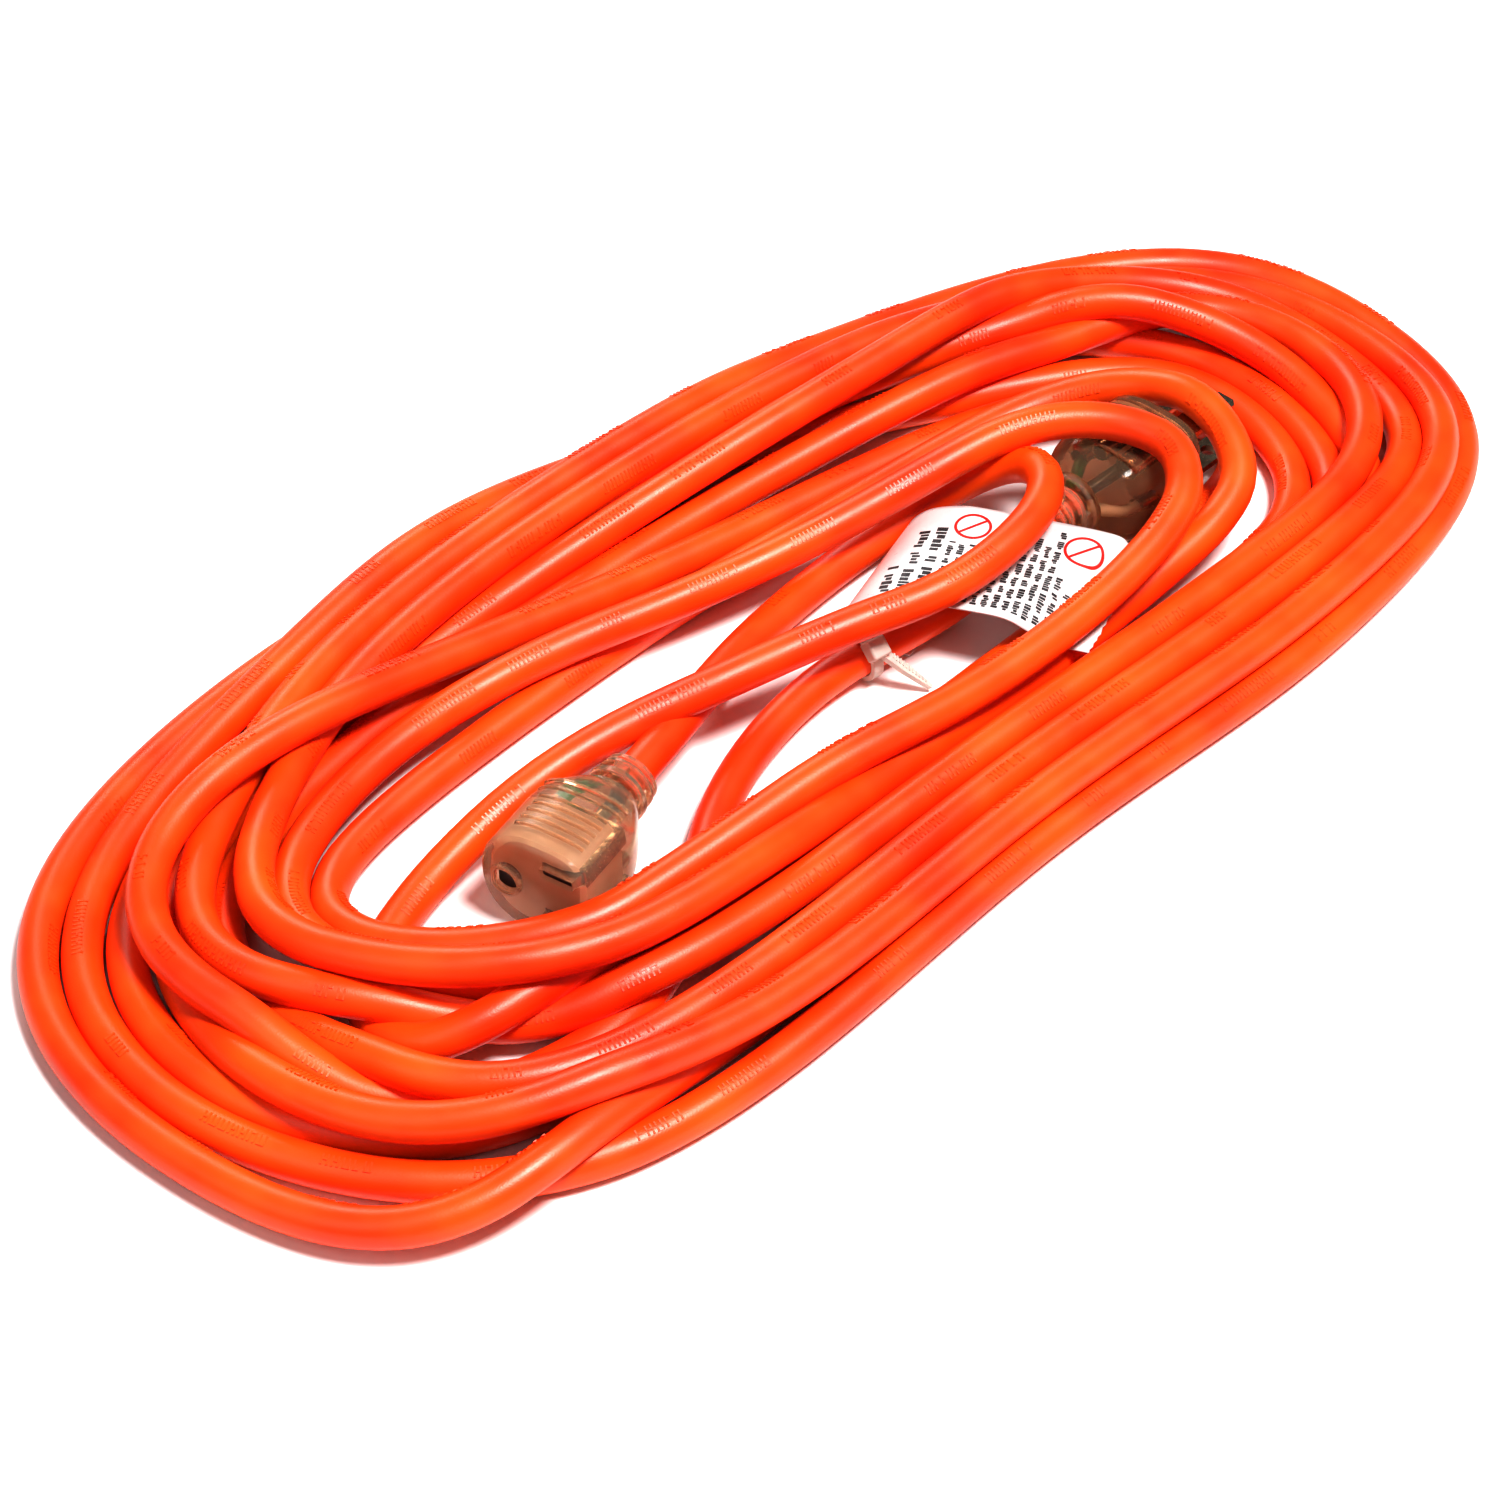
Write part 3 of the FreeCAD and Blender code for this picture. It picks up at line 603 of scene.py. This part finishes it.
# ---------------------------------------------------------------- the moulded ends
GROUND_OFF = -5.95              # the ground opening's centre, across the connector's face
FLATS_OFF = 5.95                # the two slots' middles
FLAT_RISES = (-6.35, 6.35)      # their heights
# The ground opening's radius, and how far off its flat is: in the face, in the insert behind
# it, and on the near-black fill of painted shade that closes it.
OPENING = (2.75, 2.1)
OPENING_BEHIND = (3.1, 2.45)
OPENING_SHADE_FILL = (2.68, 2.02)


def ground_bar(steps, shape):
    """A bar with the ground opening's outline, from one step to the next along X."""
    return rail([d_shape(x, *shape, GROUND_OFF) for x in steps])


def slot_bar(steps, side, half_thick, rise):
    """A bar with a slot's outline; side holds its low and high Y."""
    return brick((steps[0], side[0], rise - half_thick), (steps[1], side[1], rise + half_thick))


def make_cutter(shape, where):
    return make_piece("cutter", shape, where, MATERIALS["pocket"], None)


def make_connector():
    where = frame_at(SOCKET_FACE, SOCKET_ANGLE)
    blunt = (2.3, 4.2)
    half = 12.0
    outline = [(0, 0.90), (-0.25, 0.94), (-0.7, 0.975), (-1.5, 1.0), (-8, 1.0), (-15, 1.0),
               (-17.5, 0.975), (-20, 0.92), (-22, 0.85), (-24, 0.76), (-25.6, 0.68),
               (-26.6, 0.61), (-27, 0.58)]
    clear = MATERIALS["moulding"]
    body = make_piece("connector_moulding", rail([section(x, half * k, half * k, blunt)
                      for x, k in outline]), where, clear)
    slots = [slot_bar((-14, 2), (2.3, 9.6), 1.15, rise) for rise in FLAT_RISES]
    carve(body, [make_cutter(shape, where) for shape in (ground_bar((2, -14), OPENING), *slots)])
    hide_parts("connector_body")
    rim = [d_shape(x, *OPENING, GROUND_OFF, grow) for x, grow in
           ((-0.3, 0.1), (0.5, 0.15), (0.7, 0.45), (0.5, 0.95), (-0.3, 1.05))]
    edge = make_piece("connector_ground_rim", rail(rim, capped=False), where, clear)
    grips = make_piece("connector_grip_ribs", ribs((-5.5, -7.6, -9.7, -11.8, -13.9), (half, half),
                       blunt, 58, 122, 0.035, 0.9), where, clear)
    shoulder = make_piece("connector_shoulder_ribs", ribs((-17.0, -19.2), (half * 0.955, half * 0.955),
                          blunt, 40, 140, 0.05, 1.1), where, clear)
    insert = make_piece("connector_insert", rail([section(x, 10.2 * k, 10.2 * k, blunt) for x, k in
                        ((-15.5, 0.93), (-15.0, 1.0), (-3.0, 1.0), (-2.4, 0.95))]), where,
                        MATERIALS["carrier"])
    slots = [slot_bar((-15, 2), (1.9, 10.0), 1.5, rise) for rise in FLAT_RISES]
    behind = ground_bar((-15, 2), OPENING_BEHIND)
    carve(insert, [make_cutter(shape, where) for shape in (*slots, behind)])
    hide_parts("connector_contact_carrier")
    # Near-black fills of painted shade inside the two slots and the ground opening.
    shaded_pockets = []
    for rise in FLAT_RISES:
        rings = [section(x, 3.6, 1.1, (8, 8), sides=24) for x in (-13.8, -1.0)]
        shaded_pockets.append(rail([[(x, y + FLATS_OFF, z + rise) for x, y, z in ring] for ring in rings]))
    shaded_pockets.append(ground_bar((-13.8, -0.9), OPENING_SHADE_FILL))
    dark = make_piece("connector_pocket_shadows", joined(*shaded_pockets), where, MATERIALS["pocket"])
    relief = make_piece("connector_boot", boot(-27.0), where, clear)
    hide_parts("connector_strain_relief")


def make_plug():
    where = frame_at(PLUG_FACE, PLUG_ANGLE)
    blunt = (4.2, 2.4)
    outline = [(0, 0.90), (-0.3, 0.945), (-0.8, 0.98), (-1.6, 1.0), (-9, 1.0), (-15, 0.99),
               (-18.5, 0.965), (-21, 0.92), (-23.2, 0.85), (-25, 0.76), (-26.6, 0.65),
               (-27.6, 0.57), (-28, 0.53)]
    # The plug's moulding and ribs take the darker copy of the clear moulding, painted shade of the
    # cords over the plug.
    body = make_piece("plug_moulding", rail([section(x, 13.0 * k, 11.5 * k, blunt)
                      for x, k in outline]), where, MATERIALS["moulding_dark"])
    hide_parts("plug_body")
    insert = make_piece("plug_insert", rail([section(x, 10.6 * k, 9.2 * k, blunt) for x, k in
                        ((-7.5, 0.93), (-7.0, 1.0), (-1.4, 1.0), (-0.9, 0.95))]), where,
                        MATERIALS["carrier"])
    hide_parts("plug_blade_carrier")
    crimps = ((-5.6, 6.6), (0.9, 7.0))
    clips = [lathe([(-7.8, 1.7), (-7.8, 2.5), (-17.5, 2.5), (-18.2, 2.1), (-18.2, 1.7)], 32, y, z)
             for y, z in crimps]
    clips.append(lathe([(-7.8, 1.4), (-7.8, 2.2), (-16.5, 2.2), (-17.0, 1.4)], 32, 6.6, 1.0))
    tubes = make_piece("plug_crimp_tubes", joined(*clips), where, MATERIALS["pole"])
    # Dark patches of painted shade where the crimp tubes' slits lie in shadow.
    slit_shade = joined(*[brick((-14.5, y - 0.9, z + 1.6), (-9.5, y + 0.9, z + 2.6))
                     for y, z in crimps])
    dark = make_piece("plug_crimp_slit_shade", slit_shade, where, MATERIALS["pocket"])
    grips = make_piece("plug_grip_ribs", ribs((-3.4, -5.6, -19.5), (13.0, 11.5), blunt,
                       50, 130, 0.02, 0.9), where, MATERIALS["moulding_dark"])
    relief = make_piece("plug_boot", boot(-28.0), where, MATERIALS["moulding"])
    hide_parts("plug_strain_relief")
    return [body, insert, tubes, dark, grips, relief]


# ---------------------------------------------------------------- the flag label
LABEL_PLACE = (11.4, 9.0, 0.0)
LABEL_ANGLE = math.radians(35)
LABEL_WIDE = 32.0
LABEL_THICK = 0.4
# Across the fold: distance towards the near side, and height. The far corner's side folds
# over later, by LABEL_LATER at the full width.
LABEL_INNER = [(25, 0.45), (20.5, 0.5), (16, 0.6), (10.6, 4.2), (10.4, 8.4), (14.5, 13), (21, 15.6)]
LABEL_OUTER = [(28, 16.3), (38, 16.3), (43, 14.3), (48, 11.8), (53, 11.5), (62, 11.5), (70, 11.5)]
LABEL_LATER = 15.0
LABEL_RISE = 1.2                # how much higher the end lies on the far corner's side
LABEL_SOONER = 6.0              # how much nearer the fold is on the near corner's side
LABEL_END = (57.0, 61.5)        # where the outer ply ends, on each side
LABEL_ROWS = 110
LABEL_COLUMNS = 32
LABEL_SIGNS = ((24.6, 49.6, 4.3), (25.6, 25.4, 4.0))    # each ring's middle (u, q) and radius
LABEL_LINES = [(2.3, 0.75)] * 3 + [(1.35, 0.40)] * 16   # each line's height and stroke width
LABEL_TOP, LABEL_FOOT = 11.0, 56.0      # where the lines of print begin and end
LABEL_FULL = 30.0               # how far across a line may reach,
LABEL_BESIDE_TOP = 20.0         # beside the upper ring,
LABEL_BESIDE_FOOT = 19.5        # and beside the lower one
INK_LIFT = 0.14                 # how far the print stands off the sheet


def label_line(u):
    """The sheet's middle line at u across its width."""
    later = LABEL_LATER * u / LABEL_WIDE
    sooner = LABEL_SOONER * (1 - u / LABEL_WIDE)
    higher = LABEL_RISE * u / LABEL_WIDE
    outer = [(q + (0 if k == 0 else later), z + (higher if k > 2 else 0))
             for k, (q, z) in enumerate(LABEL_OUTER)]
    points = [(q, 0.0, z) for q, z in [(q - sooner, z) for q, z in LABEL_INNER] + outer]
    line = through(np.array([points[0], *points, points[-1]], dtype=float), 16)
    end = LABEL_END[0] + (LABEL_END[1] - LABEL_END[0]) * u / LABEL_WIDE
    turn = int(np.argmax(line[:, 2] > 9))
    stop = turn + int(np.argmax(line[turn:, 0] > end))
    line = line[:stop]
    reach = np.append(0, np.cumsum(np.linalg.norm(np.diff(line, axis=0), axis=1)))
    stops = np.linspace(0, reach[-1], LABEL_ROWS)
    return [(float(np.interp(r, reach, line[:, 0])), float(np.interp(r, reach, line[:, 2])))
            for r in stops]


def label_spot(u, q, lift):
    """A point on the upper face of the outer ply, in the label's own frame."""
    line = [point for point in label_line(u) if point[1] > 10.5]
    return (u, -q, float(np.interp(q, [p[0] for p in line], [p[1] for p in line])) + lift)


def label_mark(corners):
    """A thin printed patch; corners are (u, q) round its edge, in pairs across it."""
    lift = LABEL_THICK / 2 + INK_LIFT
    vertices = [label_spot(u, q, lift) for pair in corners for u, q in pair]
    faces = [(2 * k, 2 * k + 2, 2 * k + 3, 2 * k + 1) for k in range(len(corners) - 1)]
    return vertices, faces


def make_label():
    where = frame_at(LABEL_PLACE, LABEL_ANGLE)
    across = [LABEL_WIDE * k / LABEL_COLUMNS for k in range(LABEL_COLUMNS + 1)]
    rings = [[(u, -q, z) for q, z in label_line(u)] for u in across]
    sheet = make_piece("label_sheet", rail(rings, closed=False, capped=False), where,
                       MATERIALS["label"], sharp=60)
    thick = sheet.modifiers.new("film", "SOLIDIFY")
    thick.thickness = LABEL_THICK * MM
    thick.offset = 0
    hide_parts("flag_label")
    chance = np.random.default_rng(7)
    words = []
    q = LABEL_TOP
    for tall, stroke in LABEL_LINES:
        if q + tall > LABEL_FOOT:
            break
        u = 1.6 + chance.uniform(0, 0.6)
        last = min(LABEL_FULL if q < 45.5 else LABEL_BESIDE_FOOT, (q - 7.5) * 5)
        last -= chance.uniform(0, 7)
        if 21.5 < q < 29.5:
            last = min(last, LABEL_BESIDE_TOP)
        while u < last:
            for _ in range(int(chance.integers(2, 8))):
                wide = stroke * chance.uniform(0.7, 1.6)
                if u + wide > last:
                    break
                top = tall * chance.choice([0.0, 0.0, 0.25])
                foot = tall * chance.choice([1.0, 1.0, 0.8])
                words.append(label_mark([((u, q + top), (u, q + foot)),
                                         ((u + wide, q + top), (u + wide, q + foot))]))
                u += wide + stroke * 0.55
            u += stroke * 2.2
        q += tall + (1.3 if tall > 2 else 0.85)
    printed = make_piece("label_print", joined(*words), where, MATERIALS["ink_black"])
    signs = []
    for cu, cq, radius in LABEL_SIGNS:
        edge = [(cu + math.cos(2 * math.pi * k / 40), cq + math.sin(2 * math.pi * k / 40))
                for k in range(41)]
        signs.append(label_mark([((cu + (u - cu) * radius, cq + (q - cq) * radius),
                                  (cu + (u - cu) * (radius - 0.6), cq + (q - cq) * (radius - 0.6)))
                                 for u, q in edge]))
        arm = (radius - 0.4) * math.sqrt(0.5)
        signs.append(label_mark([((cu - arm + t * 2 * arm - 0.2, cq - arm + t * 2 * arm + 0.2),
                                  (cu - arm + t * 2 * arm + 0.2, cq - arm + t * 2 * arm - 0.2))
                                 for t in (0, 0.2, 0.4, 0.6, 0.8, 1)]))
    warnings = make_piece("label_signs", joined(*signs), where, MATERIALS["ink_red"])
    return sheet, printed, warnings


# ---------------------------------------------------------------- the tie's teeth
# The tip of the tie's free end, the way back along it, and the way up from its face.
TAIL_END = (19.305, -17.37, 1.59)
TAIL_BACK = (-0.499, 0.587, 0.637)
TAIL_UP = (0.441, -0.459, 0.771)


def make_tie_teeth():
    back, up = Vector(TAIL_BACK).normalized(), Vector(TAIL_UP)
    side = up.cross(back).normalized()
    up = back.cross(side)
    where = Matrix((back, side, up)).transposed().to_4x4()
    where.translation = TAIL_END
    teeth = []
    for k in range(11):
        x = 1.6 + 0.9 * k
        half = min(0.68, 0.22 + 0.07 * x)
        teeth.append(brick((x, -half, -0.2), (x + 0.42, half, 0.22)))
    piece = make_piece("tie_teeth", joined(*teeth), where, MATERIALS["nylon"], "tie")


# ---------------------------------------------------------------- raised marks on the jacket
MARK_TALL = 2.1
MARK_LIFT = 0.18
MARK_PITCH = 2.0                # from one mark to the next in a group
MARK_STEP = 0.5                 # between the points that the marks follow


def make_jacket_marks(points):
    """Generic raised strokes in groups along the jacket, with no lettering."""
    line = even(spline_line(points), MARK_STEP)
    chance = np.random.default_rng(11)
    vertices, faces = [], []

    def patch(start, along, low, high):
        """A raised stroke: start and along on the line, low and high round the jacket."""
        box = []
        for lift in (-0.05, MARK_LIFT):
            for s, r in ((start, low), (start + along, low), (start + along, high), (start, high)):
                k = min(int(s / MARK_STEP), len(line) - 2)
                part = s / MARK_STEP - k
                here = line[k] * (1 - part) + line[k + 1] * part
                ahead = line[min(k + 4, len(line) - 1)] - line[max(k - 4, 0)]
                ahead /= np.linalg.norm(ahead)
                across = np.cross([0.0, 0.0, 1.0], ahead)
                across /= np.linalg.norm(across)
                top = np.cross(ahead, across)
                turn = lean + r / (CORD / 2)
                out = math.cos(turn) * top + math.sin(turn) * across
                box.append(tuple(here + out * (CORD / 2 + lift)))
        base = len(vertices)
        vertices.extend(box)
        faces.extend(tuple(base + c for c in side) for side in
                     ((4, 5, 6, 7), (0, 1, 5, 4), (1, 2, 6, 5), (2, 3, 7, 6), (3, 0, 4, 7)))

    place = 60.0
    total = (len(line) - 1) * MARK_STEP
    while place < total - 190:
        lean = 0.75 * math.sin(place / 700) + 0.15
        for _ in range(int(chance.integers(3, 9))):
            half = MARK_TALL / 2
            patch(place, 0.36, -half, half)
            if chance.random() < 0.75:
                patch(place + 1.05, 0.36, -half, half)
            level = half * float(chance.choice([-0.82, 0.0, 0.82]))
            patch(place + 0.36, 0.72, level - 0.18, level + 0.18)
            place += MARK_PITCH
        place += float(chance.uniform(8, 30))
    piece = make_piece("jacket_marks", (vertices, faces), Matrix(), MATERIALS["jacket"])
    return piece


def make_cord(plug_pieces):
    line = even(eased(even(through(lane_points()), STEP), EASE_PASSES), STEP)
    fixed = np.vstack([spline_line(SOCKET_ROUTE)[:-3], spline_line(PLUG_ROUTE)[:-3]])
    turns = settle(line, fixed)[KEEP_EVERY:-KEEP_EVERY:KEEP_EVERY]
    points = SOCKET_ROUTE + [tuple(point) for point in turns] + PLUG_ROUTE[::-1]
    cord = cord_curve("cord_jacket", points, CORD)
    cord.data.materials.append(MATERIALS["jacket"])
    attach(cord, "cord")
    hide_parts("cord_hank", "connector_cord", "plug_cord")
    make_jacket_marks(points)
    return cord


make_camera()
make_studio()
paint_frame()
make_connector()
make_cord(make_plug())
label, *marks = make_label()
make_tie_teeth()
